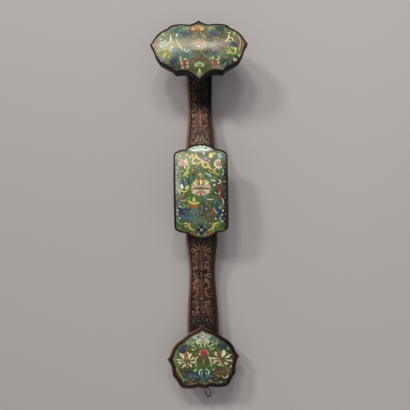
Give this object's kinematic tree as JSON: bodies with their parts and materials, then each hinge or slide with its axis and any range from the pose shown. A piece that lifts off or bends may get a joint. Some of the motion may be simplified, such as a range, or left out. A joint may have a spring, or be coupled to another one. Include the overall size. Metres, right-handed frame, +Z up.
{
  "type": "ruyi scepter",
  "caption": "Decorative ruyi scepter: an S-curved carved hardwood shaft with a lobed head, centre and tail, each set with a domed cloisonne enamel plaque",
  "frame": {"origin": "on the surface that the scepter rests on, under the middle of its bounding box without the cord", "axes": "+Y runs along the scepter from its tail to its head, +Z is up through the plaques, +X is across"},
  "size_m": [0.116, 0.4671, 0.0546],
  "materials": {
    "carved_hardwood": "carved, waxed dark hardwood",
    "lacquer_putty": "matte dark lacquer putty",
    "gilt_copper": "gilt sheet copper, softly polished",
    "green_enamel": "polished cloisonne enamel with a gloss",
    "bamboo": "plain bamboo",
    "silk_cord": "twisted brown silk"
  },
  "bodies": {
    "root": {"shaft": "carved_hardwood", "head_mount": "carved_hardwood", "head_lacquer_bed": "lacquer_putty", "head_copper_plate": "gilt_copper", "head_enamel": "green_enamel", "center_mount": "carved_hardwood", "center_lacquer_bed": "lacquer_putty", "center_copper_plate": "gilt_copper", "center_enamel": "green_enamel", "tail_mount": "carved_hardwood", "tail_lacquer_bed": "lacquer_putty", "tail_copper_plate": "gilt_copper", "tail_enamel": "green_enamel", "head_peg_1": "bamboo", "head_peg_2": "bamboo", "center_peg_1": "bamboo", "center_peg_2": "bamboo", "center_peg_3": "bamboo", "center_peg_4": "bamboo", "tail_peg_1": "bamboo", "tail_peg_2": "bamboo", "tassel_cord": "silk_cord"}
  },
  "joints": []
}
